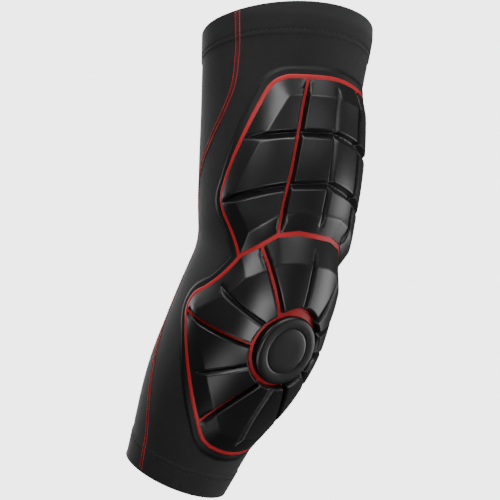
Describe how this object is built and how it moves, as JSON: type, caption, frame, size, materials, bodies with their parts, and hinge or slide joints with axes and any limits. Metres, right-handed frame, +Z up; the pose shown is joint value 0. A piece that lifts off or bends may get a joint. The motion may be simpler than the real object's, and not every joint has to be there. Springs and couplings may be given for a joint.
{
  "type": "baseball elbow guard",
  "caption": "Compression sleeve for a slightly bent arm with a segmented moulded pad over the back of the upper arm and the elbow.",
  "frame": {"origin": "inside the hollow sleeve at the elbow, where the centrelines of the upper arm and the forearm cross", "axes": "+Z up along the upper arm, -Y out through the point of the elbow and the pad, +Y out of the crook, X across, with the forearm going down and towards +Y"},
  "size_m": [0.1086, 0.1645, 0.284],
  "materials": {
    "knit": "charcoal compression knit",
    "flange": "matte black moulded film",
    "web": "satin red moulded film",
    "block": "satin black moulded foam"
  },
  "bodies": {
    "root": {"sleeve_back_panel": "knit", "sleeve_front_panel": "knit", "pad_flange": "flange", "pad_web": "web", "upper_pad_middle": "block", "upper_pad_left": "block", "upper_pad_right": "block", "elbow_pad_top": "block", "elbow_pad_upper_left": "block", "elbow_pad_upper_right": "block", "elbow_pad_lower_left": "block", "elbow_pad_lower_right": "block", "elbow_pad_bottom": "block", "elbow_cap": "block"}
  },
  "joints": []
}
